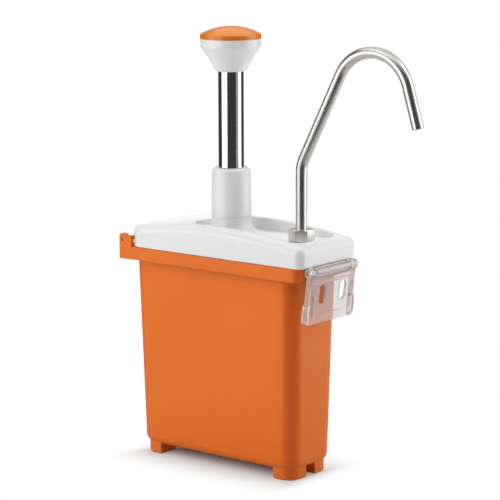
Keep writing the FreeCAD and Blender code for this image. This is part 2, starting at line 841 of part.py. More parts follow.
def make_ball(radius, x, z):
    """A valve ball."""
    return Part.makeSphere(radius, Vector(x, 0, z))


def pickup_edges():
    """Route of the pickup tube: down from the valve, then across towards the hinge end and down."""
    top = valve_end_z + valve_socket_depth
    low = valve_end_z - pickup_drop
    points = [Vector(pump_x, 0, top), Vector(pump_x, 0, low), Vector(pickup_x, 0, low - pickup_slope),
              Vector(pickup_x, 0, pickup_end_z)]
    return tube_path(points, [pickup_bend_r, pickup_bend_r])


def make_pickup_tube():
    """Bent tube that draws from the container's floor."""
    return pipe(pickup_edges(), pickup_r, pickup_wall)


def make_strainer():
    """Slotted cup on the end of the pickup tube."""
    top = strainer_z + strainer_height
    slot_z = strainer_z + strainer_cap
    cup = rod(strainer_r, strainer_z, top, pickup_x)
    cuts = [rod(pickup_r + fit_gap, pickup_end_z, top + over, pickup_x),
            rod(strainer_r - strainer_wall, slot_z, pickup_end_z, pickup_x)]
    cup = cup.cut(cuts)
    slots = []
    for index in range(strainer_slot_count // 2):
        slot = Part.makeBox(2 * strainer_r + 2 * over, strainer_slot_width, strainer_slot_height,
                            Vector(-strainer_r - over, -strainer_slot_width / 2, slot_z))
        slot.rotate(Vector(0, 0, 0), Vector(0, 0, 1), math.degrees(2 * math.pi) * index / strainer_slot_count)
        slot.translate(Vector(pickup_x, 0, 0))
        slots.append(slot)
    return cup.cut(slots)


def make_discharge_tube():
    """Bent tube from the valve's outlet up to the spout's fitting."""
    start_x = pump_x + barrel_r
    points = [Vector(start_x, 0, outlet_z), Vector(start_x + discharge_run, 0, outlet_z),
              Vector(spout_x, 0, fitting_end_z - discharge_top_drop),
              Vector(spout_x, 0, fitting_end_z + fitting_socket)]
    edges = tube_path(points, [discharge_bend_r, discharge_bend_r])
    tube = pipe(edges, discharge_r, discharge_wall)
    sleeve = Part.makeCylinder(valve_stub_r + fit_gap, valve_outlet_stub, points[0], Vector(1, 0, 0))
    collar = Part.makeCylinder(discharge_r + discharge_wall, valve_outlet_stub + discharge_wall, points[0],
                               Vector(1, 0, 0))
    throat = Part.makeCylinder(discharge_r - discharge_wall, valve_outlet_stub + discharge_run / 2, points[0],
                               Vector(1, 0, 0))
    return tube.fuse(collar).cut([sleeve, throat]).removeSplitter()


def make_fitting():
    """Spout fitting: tube socket, ball seat and cage, flange under the lid and threaded stud through it."""
    body = rod(fitting_r, fitting_end_z, fitting_top_z, spout_x)
    flange = rod(fitting_flange_r, fitting_top_z - fitting_flange, fitting_top_z, spout_x)
    stud = rod(fitting_thread_r, fitting_top_z, thread_top_z, spout_x)
    cuts = [rod(discharge_r + fit_gap, fitting_end_z - over, fitting_end_z + fitting_socket, spout_x),
            rod(outlet_seat_r, fitting_end_z, outlet_seat_z + over, spout_x),
            rod(outlet_cage_r, outlet_seat_z, outlet_pin_z + 2 * outlet_pin_r, spout_x),
            rod(spout_r - spout_wall, outlet_seat_z, thread_top_z + over, spout_x),
            rod(spout_r + fit_gap, thread_top_z - spout_insert, thread_top_z + over, spout_x),
            cross_rod(outlet_pin_r + fit_gap, fitting_r + over, spout_x, outlet_pin_z)]
    return body.fuse([flange, stud]).cut(cuts).removeSplitter()


def make_outlet_pin():
    """Cross pin that keeps the outlet ball near its seat."""
    return cross_rod(outlet_pin_r, fitting_r - near, spout_x, outlet_pin_z)


def make_fitting_gasket():
    """Flat seal between the fitting's flange and the lid."""
    return ring(fitting_flange_r, fitting_thread_r + thread_gap, fitting_top_z, deck_z, spout_x)


def make_washer():
    """Flat washer under the spout nut."""
    return ring(washer_r, fitting_thread_r + thread_gap, pocket_z, nut_z, spout_x)


def make_nut():
    """Hexagon compression nut with both ends chamfered."""
    corner_r = nut_flats / 2 / math.cos(math.pi / hex_sides)
    points = []
    for index in range(hex_sides + 1):
        angle = nut_turn + math.pi / hex_sides + 2 * math.pi * index / hex_sides
        points.append(Vector(spout_x + corner_r * math.cos(angle), corner_r * math.sin(angle), nut_z))
    hexagon = slab(Part.makePolygon(points), nut_height)
    top = nut_z + nut_height
    flat_x = spout_x + nut_flats / 2
    corner_x = spout_x + corner_r
    rounded = [Vector(spout_x, 0, nut_z), Vector(flat_x, 0, nut_z), Vector(corner_x, 0, nut_z + nut_chamfer),
               Vector(corner_x, 0, top - nut_chamfer), Vector(flat_x, 0, top), Vector(spout_x, 0, top),
               Vector(spout_x, 0, nut_z)]
    barrel = turned(line_chain(rounded), spout_x)
    cuts = [rod(fitting_thread_r + fit_gap, nut_z - over, top - nut_lip, spout_x),
            rod(spout_r + running_gap, nut_z, top + over, spout_x)]
    return hexagon.common(barrel).cut(cuts)


def make_ferrule():
    """Compression ring between the fitting's stud and the nut, round the tube."""
    low = thread_top_z
    high = nut_z + nut_height - nut_lip
    return ring(fitting_thread_r - ferrule_face, spout_r + fit_gap, low, high, spout_x)


def make_spout():
    """Bent steel tube: upright, leaning run, crook and square-cut tip."""
    corner, crook, crest, far, tip = spout_points()
    foot = Vector(spout_x, 0, thread_top_z - spout_insert)
    edges = tube_path([foot, corner, crook], [spout_corner_r])
    edges.append(Part.Arc(crook, crest, far).toShape())
    edges.append(Part.makeLine(far, tip))
    return pipe(edges, spout_r, spout_wall)


def biarc(start, start_way, end, end_way):
    """Two tangent arcs between two points with given directions."""
    chord = end - start
    ways = start_way + end_way
    bend = 2 * (1 - start_way.dot(end_way))
    along = chord.dot(ways)
    reach = (math.sqrt(along ** 2 + bend * chord.dot(chord)) - along) / bend
    before = start + start_way * reach
    after = end - end_way * reach
    joint = (before + after) / 2
    return [arc_by_corner(start, before, joint), arc_by_corner(joint, after, end)]


def arc_by_corner(start, corner, end):
    """The arc from start to end whose end tangents meet at the corner."""
    middle = (start + end) / 2
    half = start.distanceToPoint(end) / 2
    angle = (corner - start).getAngle(end - start)
    top = middle + (corner - middle).normalize() * half * math.tan(angle / 2)
    return Part.Arc(start, top, end).toShape()


def spring_edges():
    """Helix of the return spring in quarter turns, with short straight ends."""
    low = valve_top_z + spring_wire_r + rest_gap
    high = piston_end_z - spring_wire_r - rest_gap
    quarters = 4 * spring_turns
    climb = (high - low) / (2 * math.pi * spring_turns)
    points = []
    ways = []
    for index in range(quarters + 1):
        angle = index * math.pi / 2
        out = Vector(math.cos(angle), math.sin(angle), 0) * spring_mean_r
        points.append(Vector(pump_x, 0, low + climb * angle) + out)
        ways.append(Vector(-out.y, out.x, climb).normalize())
    wire_d = 2 * spring_wire_r
    edges = [Part.makeLine(points[0] - ways[0] * wire_d, points[0])]
    for index in range(quarters):
        edges += biarc(points[index], ways[index], points[index + 1], ways[index + 1])
    edges.append(Part.makeLine(points[-1], points[-1] + ways[-1] * wire_d))
    pitch = (high - low) / spring_turns
    print("return spring: least gap between turns", round(pitch * math.cos(math.atan(climb / spring_mean_r))
                                                          - wire_d, 2), "mm")
    return edges


def make_spring():
    """Return spring between the foot valve and the piston."""
    return swept(spring_edges(), spring_wire_r)


def make_plunger_tube():
    """Bright steel plunger tube, from the piston up into the knob."""
    tube = ring(plunger_r, plunger_r - plunger_wall, piston_top_z, knob_z + knob_socket, pump_x)
    pin_z = piston_top_z + piston_pin_height
    return tube.cut(cross_rod(piston_pin_r + fit_gap, plunger_r + over, pump_x, pin_z))


def make_plug():
    """Threaded plug in the top of the plunger tube."""
    top = knob_z + knob_socket
    solid = rod(plunger_r - plunger_wall - fit_gap, top - plug_length, top, pump_x)
    return solid.cut(rod(screw_r + fit_gap, top - screw_length - over, top + over, pump_x))


def make_knob():
    """White knob: trumpet flare with a rounded lower lip, bored for the tube and hollowed under the cap."""
    neck = Vector(pump_x + knob_neck_r, 0, knob_z + knob_neck_height)
    flare = Vector(pump_x + knob_r, 0, knob_z + knob_flare_height)
    lip = Vector(pump_x + knob_lip_r, 0, knob_z)
    round_share = 0.68
    lip_mid = Vector(lip.x + (neck.x - lip.x) * round_share, 0, lip.z + (neck.z - lip.z) * (1 - round_share))
    edges = line_chain([Vector(pump_x, 0, knob_z), lip])
    edges.append(Part.Arc(lip, lip_mid, neck).toShape())
    edges.append(Part.Arc(neck, Vector(pump_x + knob_mid_r, 0, knob_z + knob_mid_height), flare).toShape())
    edges += line_chain([flare, Vector(flare.x, 0, cap_z), Vector(pump_x, 0, cap_z),
                         Vector(pump_x, 0, knob_z)])
    solid = turned(edges, pump_x)
    solid = solid.makeFillet(knob_band_r, edges_at(solid, flare.z))
    well_z = cap_z - knob_well
    cuts = [rod(plunger_r + fit_gap, knob_z - over, knob_z + knob_socket, pump_x),
            rod(knob_well_r, well_z, cap_z + over, pump_x),
            rod(screw_r + fit_gap, knob_z, cap_z, pump_x),
            rod(screw_head_r + fit_gap, well_z - screw_head, well_z + over, pump_x)]
    return solid.cut(cuts)


def make_knob_screw():
    """Socket-head screw that holds the knob to the plug."""
    top = cap_z - knob_well
    seat = top - screw_head
    low = knob_z + knob_socket - plug_length + fit_gap
    head = rod(screw_head_r, seat, top, pump_x)
    socket = rod(socket_r, top - socket_depth, top + over, pump_x)
    return head.fuse(rod(screw_r, low, seat, pump_x)).cut(socket)


def make_cap():
    """Orange domed cap with a spigot into the knob."""
    edge_z = cap_z + cap_band
    dome_r = (cap_r ** 2 + cap_dome ** 2) / (2 * cap_dome)
    half_angle = math.asin(cap_r / dome_r) / 2
    top = Vector(pump_x, 0, edge_z + cap_dome)
    middle = Vector(pump_x + dome_r * math.sin(half_angle), 0, top.z - dome_r * (1 - math.cos(half_angle)))
    rim = Vector(pump_x + cap_r, 0, edge_z)
    spigot_r = knob_well_r - fit_gap
    spigot_z = cap_z - cap_spigot
    edges = line_chain([Vector(pump_x, 0, spigot_z), Vector(pump_x + spigot_r, 0, spigot_z),
                        Vector(pump_x + spigot_r, 0, cap_z), Vector(pump_x + cap_r, 0, cap_z), rim])
    edges.append(Part.Arc(rim, middle, top).toShape())
    edges += line_chain([top, Vector(pump_x, 0, spigot_z)])
    solid = turned(edges, pump_x)
    return solid.makeFillet(cap_edge_r, [e for e in edges_at(solid, edge_z) if e.BoundBox.XLength > cap_r])


def groove_heights():
    """Lower faces of the two seal grooves in the piston."""
    return [piston_end_z + piston_groove_inset, piston_top_z - piston_groove_inset - piston_groove]


def make_piston():
    """Piston with two seal grooves and a spigot up into the plunger tube."""
    body_r = bore_r - running_gap
    solid = rod(body_r, piston_end_z, piston_top_z, pump_x)
    spigot_r = plunger_r - plunger_wall - fit_gap
    solid = solid.fuse(rod(spigot_r, piston_top_z, piston_top_z + piston_spigot, pump_x))
    cuts = []
    for low in groove_heights():
        cuts.append(ring(bore_r + over, bore_r - piston_groove_depth, low, low + piston_groove, pump_x))
    cuts.append(cross_rod(piston_pin_r + fit_gap, plunger_r, pump_x, piston_top_z + piston_pin_height))
    return solid.cut(cuts).removeSplitter()


def make_piston_seals():
    """Two square-section seal rings."""
    seals = []
    for low in groove_heights():
        seals.append(ring(bore_r - running_gap, bore_r - piston_groove_depth + fit_gap, low + fit_gap,
                          low + piston_groove - fit_gap, pump_x))
    return Part.makeCompound(seals)


def make_piston_pin():
    """Cross pin through the tube and the piston's spigot."""
    return cross_rod(piston_pin_r, plunger_r - plunger_wall / 2, pump_x, piston_top_z + piston_pin_height)


def main():
    """Build every piece and write it."""
    os.makedirs("parts", exist_ok=True)
    pieces = {
        "container": make_container(),
        "lid_hinge_pin": make_hinge_pin(),
        "lid": make_lid(),
        "lid_gasket": make_lid_gasket(),
        "latch_clip": make_latch_clip(),
        "latch_pin": make_latch_pin(),
        "pump_tower": make_tower(),
        "tower_wiper": make_wiper(),
        "guide_bush": make_bush(),
        "pump_cylinder": make_cylinder(),
        "cylinder_gasket": make_cylinder_gasket(),
        "foot_valve": make_foot_valve(),
        "inlet_ball_stop": make_ball_stop(),
        "inlet_ball": make_ball(valve_ball_r, pump_x, inlet_ball_z),
        "pickup_tube": make_pickup_tube(),
        "strainer": make_strainer(),
        "discharge_tube": make_discharge_tube(),
        "spout_fitting": make_fitting(),
        "outlet_ball_pin": make_outlet_pin(),
        "outlet_ball": make_ball(outlet_ball_r, spout_x, outlet_ball_z),
        "fitting_gasket": make_fitting_gasket(),
        "spout_washer": make_washer(),
        "spout_nut": make_nut(),
        "spout_ferrule": make_ferrule(),
        "spout_tube": make_spout(),
        "return_spring": make_spring(),
        "plunger_tube": make_plunger_tube(),
        "plunger_plug": make_plug(),
        "knob": make_knob(),
        "knob_screw": make_knob_screw(),
        "knob_cap": make_cap(),
        "piston": make_piston(),
        "piston_seals": make_piston_seals(),
        "piston_pin": make_piston_pin(),
    }
    for name, shape in pieces.items():
        save(name, shape)
        print(name, len(shape.Solids), "solid", round(shape.Volume), "mm3", shape.isValid())


main()
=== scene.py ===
import json
import logging
import math
from dataclasses import dataclass, field
from enum import Enum
from typing import Any, Union

import bmesh
import bpy
import numpy as np
from mathutils import Matrix, Vector


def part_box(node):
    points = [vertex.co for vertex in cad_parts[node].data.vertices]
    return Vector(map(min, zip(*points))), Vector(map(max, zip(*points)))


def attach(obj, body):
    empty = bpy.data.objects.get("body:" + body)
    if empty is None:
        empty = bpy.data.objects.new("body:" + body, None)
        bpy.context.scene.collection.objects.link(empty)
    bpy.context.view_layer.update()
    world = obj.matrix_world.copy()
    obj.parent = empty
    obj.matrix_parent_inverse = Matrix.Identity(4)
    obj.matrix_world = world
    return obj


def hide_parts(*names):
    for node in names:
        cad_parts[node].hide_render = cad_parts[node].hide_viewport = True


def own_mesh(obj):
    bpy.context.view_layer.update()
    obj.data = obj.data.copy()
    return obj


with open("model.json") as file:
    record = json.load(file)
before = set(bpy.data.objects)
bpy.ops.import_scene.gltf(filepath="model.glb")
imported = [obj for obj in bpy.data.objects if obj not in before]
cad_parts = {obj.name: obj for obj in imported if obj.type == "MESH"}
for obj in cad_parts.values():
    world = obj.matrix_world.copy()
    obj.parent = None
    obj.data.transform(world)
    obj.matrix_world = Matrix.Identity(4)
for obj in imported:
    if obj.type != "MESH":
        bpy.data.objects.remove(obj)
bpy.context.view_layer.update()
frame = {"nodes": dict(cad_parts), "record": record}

LOG = logging.getLogger("dispenser")

Colour = tuple[float, float, float]
Point = tuple[float, float, float]
Span = tuple[float, float]
Operand = Union["Wire", float]
Paint = Union["Wire", Colour]

# Places of the sockets of a Mix node that mixes colours.
MIX_SHARE = 0
MIX_FIRST = 6
MIX_SECOND = 7
MIX_RESULT = 2

# What counts as one point, one corner of a rounding and one plane of a copied solid, in metres and radians.
SAME_POINT = 1e-6
SAME_CORNER = 1e-5
SAME_PLANE = math.radians(0.5)

ROUND_PROFILE = 0.5
FLAT_FACE_WEIGHT = 100
NOISE_MEAN = 0.5
WHITE_LIGHT: Colour = (1.0, 1.0, 1.0)


class Slot(Enum):
    """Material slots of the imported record."""

    ORANGE = "orange_plastic"
    CAP = "cap_plastic"
    WHITE = "white_plastic"
    BRIGHT = "bright_steel"
    BRUSHED = "brushed_steel"
    PIN = "pin_steel"
    SPRING = "spring_steel"
    CLEAR = "clear_plastic"
    NATURAL = "natural_plastic"
    SEAL = "seal_rubber"


class Body(Enum):
    """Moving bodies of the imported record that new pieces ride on."""

    LID = "lid"
    LATCH = "latch"


class Wire:
    """A shader socket that takes part in Python expressions."""

    def __init__(self, graph: "Graph", socket: bpy.types.NodeSocket) -> None:
        """Keep the socket and the graph that its Math nodes go into."""
        self.graph = graph
        self.socket = socket

    def _math(self, operation: str, *operands: Operand) -> "Wire":
        """Add one Math node.

        Args:
            operation: the Math node's operation.
            operands: its values or links, in order.

        Returns:
            The node's result.
        """
        return self.graph.node("ShaderNodeMath", {"operation": operation}, list(operands)).out()

    def __add__(self, other: Operand) -> "Wire":
        """Sum."""
        return self._math("ADD", self, other)

    def __radd__(self, other: Operand) -> "Wire":
        """Sum with a number on the left."""
        return self._math("ADD", other, self)

    def __sub__(self, other: Operand) -> "Wire":
        """Difference."""
        return self._math("SUBTRACT", self, other)

    def __rsub__(self, other: Operand) -> "Wire":
        """Difference from a number on the left."""
        return self._math("SUBTRACT", other, self)

    def __mul__(self, other: Operand) -> "Wire":
        """Product."""
        return self._math("MULTIPLY", self, other)

    def __rmul__(self, other: Operand) -> "Wire":
        """Product with a number on the left."""
        return self._math("MULTIPLY", other, self)

    def __pow__(self, other: Operand) -> "Wire":
        """Power."""
        return self._math("POWER", self, other)

    def __abs__(self) -> "Wire":
        """Size without sign."""
        return self._math("ABSOLUTE", self)

    def at_least(self, other: Operand) -> "Wire":
        """The larger of two values."""
        return self._math("MAXIMUM", self, other)

    def at_most(self, other: Operand) -> "Wire":
        """The smaller of two values."""
        return self._math("MINIMUM", self, other)

    def ramp(self, low: float, high: float, start: float = 0.0, end: float = 1.0) -> "Wire":
        """Smooth step from start to end as the value goes from low to high.

        Args:
            low: value where the step begins.
            high: value where it ends.
            start: result at low.
            end: result at high.

        Returns:
            The stepped value.
        """
        settings = {"interpolation_type": "SMOOTHSTEP"}
        return self.graph.node("ShaderNodeMapRange", settings, [self, low, high, start, end]).out()


class Made:
    """A node that was just added, with its outputs as wires."""

    def __init__(self, graph: "Graph", node: bpy.types.Node) -> None:
        """Keep the node and its graph."""
        self.graph = graph
        self.node = node

    def out(self, name: Union[str, int] = 0) -> Wire:
        """One output by name or place."""
        return Wire(self.graph, self.node.outputs[name])


@dataclass(frozen=True)
class Pattern:
    """A cloudy noise.

    Its scale is in repeats per metre, or per unit of a UV map, and stretch multiplies it along each axis.
    Detail is the number of octaves of finer noise, and rough their strength.
    """

    scale: float
    detail: float = 2.0
    rough: float = 0.5
    stretch: Point = (1.0, 1.0, 1.0)


def opaque(paint: Paint) -> Union[Wire, tuple[float, float, float, float]]:
    """Give a colour full alpha, and leave a wire as it is."""
    return paint if isinstance(paint, Wire) else (*paint, 1.0)


class Graph:
    """The node tree of a material or a world."""

    def __init__(self, owner: Union[bpy.types.Material, bpy.types.World]) -> None:
        """Start an empty tree on its owner."""
        owner.use_nodes = True
        self.tree = owner.node_tree
        self.tree.nodes.clear()

    def node(self, kind: str, settings: dict[str, Any], inputs: Union[list, dict]) -> Made:
        """Add any node.

        Args:
            kind: the node's type.
            settings: its properties, set before its sockets.
            inputs: values or wires for its sockets, by place in a list, or by name or place in a dict.

        Returns:
            The new node.
        """
        made = self.tree.nodes.new(kind)
        for key, value in settings.items():
            setattr(made, key, value)
        pairs = enumerate(inputs) if isinstance(inputs, list) else inputs.items()
        for key, value in pairs:
            if isinstance(value, Wire):
                self.tree.links.new(value.socket, made.inputs[key])
            else:
                made.inputs[key].default_value = value
        return Made(self, made)

    def mix(self, share: Operand, first: Paint, second: Paint) -> Wire:
        """Colour between two colours.

        Args:
            share: 0 gives the first colour and 1 the second.
            first: colour or wire.
            second: colour or wire.

        Returns:
            The mixed colour.
        """
        inputs = {MIX_SHARE: share, MIX_FIRST: opaque(first), MIX_SECOND: opaque(second)}
        return self.node("ShaderNodeMix", {"data_type": "RGBA"}, inputs).out(MIX_RESULT)

    def axes(self, of: str = "Object") -> tuple[Wire, Wire, Wire]:
        """Split a coordinate into its axes.

        Args:
            of: what is split, the Object coordinates or the surface's Normal.

        Returns:
            One wire for each axis.
        """
        source = self.node("ShaderNodeTexCoord", {}, {}).out(of)
        parts = self.node("ShaderNodeSeparateXYZ", {}, [source])
        return parts.out("X"), parts.out("Y"), parts.out("Z")

    def noise(self, pattern: Pattern, uv: bool = False) -> Wire:
        """Cloudy noise from 0 to 1.

        Args:
            pattern: its scale, stretch and detail.
            uv: read the piece's own UV map in place of its Object coordinates.

        Returns:
            The noise value.
        """
        source = self.node("ShaderNodeTexCoord", {}, {}).out("UV" if uv else "Object")
        where = self.node("ShaderNodeMapping", {}, {"Vector": source, "Scale": pattern.stretch}).out()
        inputs = {"Vector": where, "Scale": pattern.scale, "Detail": pattern.detail,
                  "Roughness": pattern.rough}
        return self.node("ShaderNodeTexNoise", {}, inputs).out()

    def bump(self, height: Wire, depth: float) -> Wire:
        """Surface normal disturbed by a height from 0 to 1, where 1 stands for depth, in metres."""
        inputs = {"Strength": 1.0, "Distance": depth, "Height": height}
        return self.node("ShaderNodeBump", {}, inputs).out()

    def seen_by(self, *rays: str) -> Wire:
        """Tell some kinds of ray from the rest.

        Args:
            rays: names of the Light Path node's outputs.

        Returns:
            1 for these rays and 0 for others.
        """
        path = self.node("ShaderNodeLightPath", {}, {})
        seen = path.out(rays[0])
        for ray in rays[1:]:
            seen = seen.at_least(path.out(ray))
        return seen

    def close(self, shader: Wire) -> None:
        """Link a shader to the material's output."""
        self.node("ShaderNodeOutputMaterial", {}, {"Surface": shader})


@dataclass(frozen=True)
class Finish:
    """A named surface finish on one of the record's slots."""

    name: str
    slot: Slot
    colour: Colour
    roughness: float

    def shade(self, graph: Graph) -> Wire:
        """Add the finish's nodes and return its shader."""
        raise NotImplementedError

    def material(self) -> bpy.types.Material:
        """Make the material of this finish.

        Returns:
            The new material.
        """
        made = bpy.data.materials.new(self.name)
        graph = Graph(made)
        graph.close(self.shade(graph))
        made.diffuse_color = opaque(self.colour)
        return made


@dataclass(frozen=True)
class MouldedPlastic(Finish):
    """Opaque moulded plastic: fine spark-eroded grain, faint flow clouds, and scuffed bands at its edges.

    A scuff band is a height and its reach, in metres. The corner shade is painted shade that darkens
    the upright corners, whose normal lies between X and Y.
    Edges are the values between which a pattern fades in.
    """

    shade_colour: Colour = (0.5, 0.5, 0.5)
    clouds: Pattern = Pattern(9.0, 3.0)
    cloud_edges: Span = (0.35, 0.7)
    grain: Pattern = Pattern(1500.0, 2.0, 0.6)
    grain_depth: float = 0.00003
    grain_spread: float = 0.05
    smears: Pattern = Pattern(55.0, 3.0, stretch=(1.0, 1.0, 0.35))
    gloss_spread: float = 0.08
    mirror: float = 0.5
    scuff: float = 0.35
    scuff_bands: tuple[Span, ...] = ()
    scuffs: Pattern = Pattern(140.0, 4.0, 0.7, (1.0, 1.0, 2.5))
    scuff_edges: Span = (0.5, 0.68)
    scuff_share: float = 0.7
    scuff_white: float = 0.2
    scuff_rough: float = 0.15
    corner_shade: float = 0.0
    corner_shade_colour: Colour = (0.5, 0.5, 0.5)
    corner_shade_edges: Span = (0.1, 0.5)

    def shade(self, graph: Graph) -> Wire:
        """Colour from clouds, scuffs and painted corner shade, roughness from smears and grain, bump from
        grain.

        Args:
            graph: the material's node tree.

        Returns:
            The shader.
        """
        clouds = graph.noise(self.clouds)
        grain = graph.noise(self.grain)
        smears = graph.noise(self.smears)
        colour = graph.mix(clouds.ramp(*self.cloud_edges), self.colour, self.shade_colour)
        rough = self.roughness + (smears - NOISE_MEAN) * self.gloss_spread
        rough = rough + (grain - NOISE_MEAN) * self.grain_spread
        # Painted shade: the upright corners are darkened, where the lighting leaves the shell dark.
        if self.corner_shade:
            x, y, _ = graph.axes("Normal")
            corner_shade_share = (abs(x) * abs(y)).ramp(*self.corner_shade_edges, 0.0, self.corner_shade)
            colour = graph.mix(corner_shade_share, colour, self.corner_shade_colour)
        pale = tuple(self.scuff_share * c + self.scuff_white for c in self.colour)
        for height, reach in self.scuff_bands:
            _, _, z = graph.axes()
            rubbed = graph.noise(self.scuffs).ramp(*self.scuff_edges)
            rubbed = rubbed * abs(z - height).ramp(0.0, reach, self.scuff, 0.0)
            colour = graph.mix(rubbed, colour, pale)
            rough = rough + rubbed * self.scuff_rough
        inputs = {"Base Color": colour, "Roughness": rough, "Specular IOR Level": self.mirror,
                  "Normal": graph.bump(grain, self.grain_depth)}
        return graph.node("ShaderNodeBsdfPrincipled", {}, inputs).out()


@dataclass(frozen=True)
class DrawnSteel(Finish):
    """Stainless steel with drawing or polishing lines along one axis, or along the UV map."""

    line_scale: Point = (900.0, 900.0, 14.0)
    line_detail: float = 3.0
    line_rough: float = 0.65
    line_edges: Span = (0.3, 0.7)
    line_depth: float = 0.000004
    dark_share: float = 0.84
    gloss_spread: float = 0.06
    clouds: Pattern = Pattern(30.0)
    cloud_spread: float = 0.04
    least_rough: float = 0.02
    on_uv: bool = False

    def shade(self, graph: Graph) -> Wire:
        """Fine lines drive roughness, tone and bump; slow clouds soften them.

        Args:
            graph: the material's node tree.

        Returns:
            The shader.
        """
        lines = graph.noise(Pattern(1.0, self.line_detail, self.line_rough, self.line_scale), self.on_uv)
        clouds = graph.noise(self.clouds)
        dark = tuple(self.dark_share * c for c in self.colour)
        colour = graph.mix(lines.ramp(*self.line_edges), dark, self.colour)
        rough = self.roughness + (lines - NOISE_MEAN) * self.gloss_spread
        rough = rough + (clouds - NOISE_MEAN) * self.cloud_spread
        inputs = {"Base Color": colour, "Metallic": 1.0, "Roughness": rough.at_least(self.least_rough),
                  "Normal": graph.bump(lines, self.line_depth)}
        return graph.node("ShaderNodeBsdfPrincipled", {}, inputs).out()


@dataclass(frozen=True)
class ClearPlastic(Finish):
    """Clear moulded plastic, glossy, slightly milky, with faint flow ripples and fine scratches."""

    haze_colour: Colour = (0.5, 0.5, 0.5)
    haze: Pattern = Pattern(25.0, 3.0)
    haze_edges: Span = (0.35, 0.65)
    haze_spread: float = 0.03
    index: float = 1.5
    clearness: float = 0.78
    ripples: Pattern = Pattern(60.0)
    ripple_depth: float = 0.00006
    scratch: float = 0.14
    scratches: Pattern = Pattern(120.0, 3.0, 0.7, (1.0, 8.0, 1.0))
    scratch_edges: Span = (0.6, 0.72)

    def shade(self, graph: Graph) -> Wire:
        """Glass-like shader: hazy clouds in its colour, scratches in its gloss, a ripple in its normal.

        Args:
            graph: the material's node tree.

        Returns:
            The shader.
        """
        ripples = graph.noise(self.ripples)
        haze = graph.noise(self.haze)
        scratches = graph.noise(self.scratches).ramp(*self.scratch_edges)
        colour = graph.mix(haze.ramp(*self.haze_edges), self.colour, self.haze_colour)
        rough = self.roughness + (haze - NOISE_MEAN) * self.haze_spread + scratches * self.scratch
        inputs = {"Base Color": colour, "Roughness": rough.at_least(0.0), "IOR": self.index,
                  "Transmission Weight": self.clearness, "Normal": graph.bump(ripples, self.ripple_depth)}
        return graph.node("ShaderNodeBsdfPrincipled", {}, inputs).out()


class Look(Enum):
    """The finishes of this object."""

    # The shell's corner shade is painted shade on its upright corners.
    SHELL = MouldedPlastic("satin_orange", Slot.ORANGE, (0.75, 0.158, 0.007), 0.46, (0.72, 0.147, 0.006),
                           mirror=0.28, scuff_bands=((0.0, 0.012), (0.233, 0.003)),
                           corner_shade=0.9, corner_shade_colour=(0.62, 0.095, 0.004))
    CAP = MouldedPlastic("cap_orange", Slot.CAP, (0.67, 0.190, 0.004), 0.25, (0.64, 0.178, 0.003),
                         grain_depth=0.000012, scuff=0.2, scuff_bands=((0.475, 0.003), (0.463, 0.002)))
    WHITE = MouldedPlastic("gloss_white", Slot.WHITE, (0.765, 0.765, 0.765), 0.30, (0.74, 0.74, 0.745),
                           grain_depth=0.000012, scuff_bands=((0.2335, 0.003),))
    BRIGHT = DrawnSteel("polished_steel", Slot.BRIGHT, (0.80, 0.80, 0.79), 0.08, line_depth=0.000002)
    PIPE = DrawnSteel("drawn_pipe", Slot.BRUSHED, (0.58, 0.57, 0.55), 0.31, (70.0, 25.0, 1.0), on_uv=True)
    BRUSHED = DrawnSteel("brushed_steel", Slot.BRUSHED, (0.74, 0.72, 0.68), 0.36, gloss_spread=0.10)
    PIN = DrawnSteel("pin_steel", Slot.PIN, (0.30, 0.29, 0.28), 0.30, (60.0, 900.0, 900.0))
    SPRING = DrawnSteel("spring_wire", Slot.SPRING, (0.62, 0.62, 0.61), 0.20)
    CLEAR = ClearPlastic("clear_clip", Slot.CLEAR, (0.85, 0.81, 0.795), 0.04, (0.80, 0.755, 0.74))
    NATURAL = MouldedPlastic("natural_plastic", Slot.NATURAL, (0.78, 0.78, 0.74), 0.42, (0.75, 0.75, 0.70))
    SEAL = MouldedPlastic("white_silicone", Slot.SEAL, (0.72, 0.72, 0.70), 0.55, (0.68, 0.68, 0.66),
                          gloss_spread=0.12)


class Wardrobe:
    """All finishes as materials."""

    def __init__(self) -> None:
        """Make each finish once."""
        self.materials = {look: look.value.material() for look in Look}

    def dress(self, piece: bpy.types.Object, look: Look) -> None:
        """Give a piece one material."""
        piece.data.materials.clear()
        piece.data.materials.append(self.materials[look])


def linked(name: str, data: bpy.types.ID) -> bpy.types.Object:
    """Make an object and put it into the scene.

    Args:
        name: the object's name.
        data: its mesh, lamp or camera.

    Returns:
        The new object.
    """
    made = bpy.data.objects.new(name, data)
    bpy.context.scene.collection.objects.link(made)
    return made


def surface(name: str, grid: np.ndarray, along: np.ndarray, close_rows: bool) -> bpy.types.Object:
    """Make a mesh of a grid of points whose rows are closed rings.

    Point (i, j) is point j of ring i. The UV map holds the share of the turn and the given length along
    the rings, so that a pattern follows the surface. Rows that don't close get a flat face at each end.

    Args:
        name: the piece's name.
        grid: points, rows by columns by 3.
        along: length of each row along the surface, in metres.
        close_rows: join the last row to the first.

    Returns:
        The new object.
    """
    rows, columns = grid.shape[:2]
    row = np.arange(rows if close_rows else rows - 1)
    column = np.arange(columns)
    i, j = np.meshgrid(row, column, indexing="ij")
    corners_i = np.stack([i, i, i + 1, i + 1], -1).reshape(-1, 4)
    corners_j = np.stack([j, j + 1, j + 1, j], -1).reshape(-1, 4)
    faces = (corners_i % rows) * columns + corners_j % columns
    uv = np.stack([corners_j / columns, along[corners_i % rows]], -1).reshape(-1, 2)
    loops = faces.tolist()
    if not close_rows:
        ends = np.stack([column[::-1], column + (rows - 1) * columns])
        loops += ends.tolist()
        end_uv = np.stack([ends % columns / columns, along[ends // columns]], -1).reshape(-1, 2)
        uv = np.vstack([uv, end_uv])
    mesh = bpy.data.meshes.new(name)
    mesh.from_pydata(grid.reshape(-1, 3).tolist(), [], loops)
    mesh.uv_layers.new(name="along").data.foreach_set("uv", uv.astype(np.float32).ravel())
    mesh.polygons.foreach_set("use_smooth", np.ones(len(loops), bool))
    mesh.update()
    return linked(name, mesh)


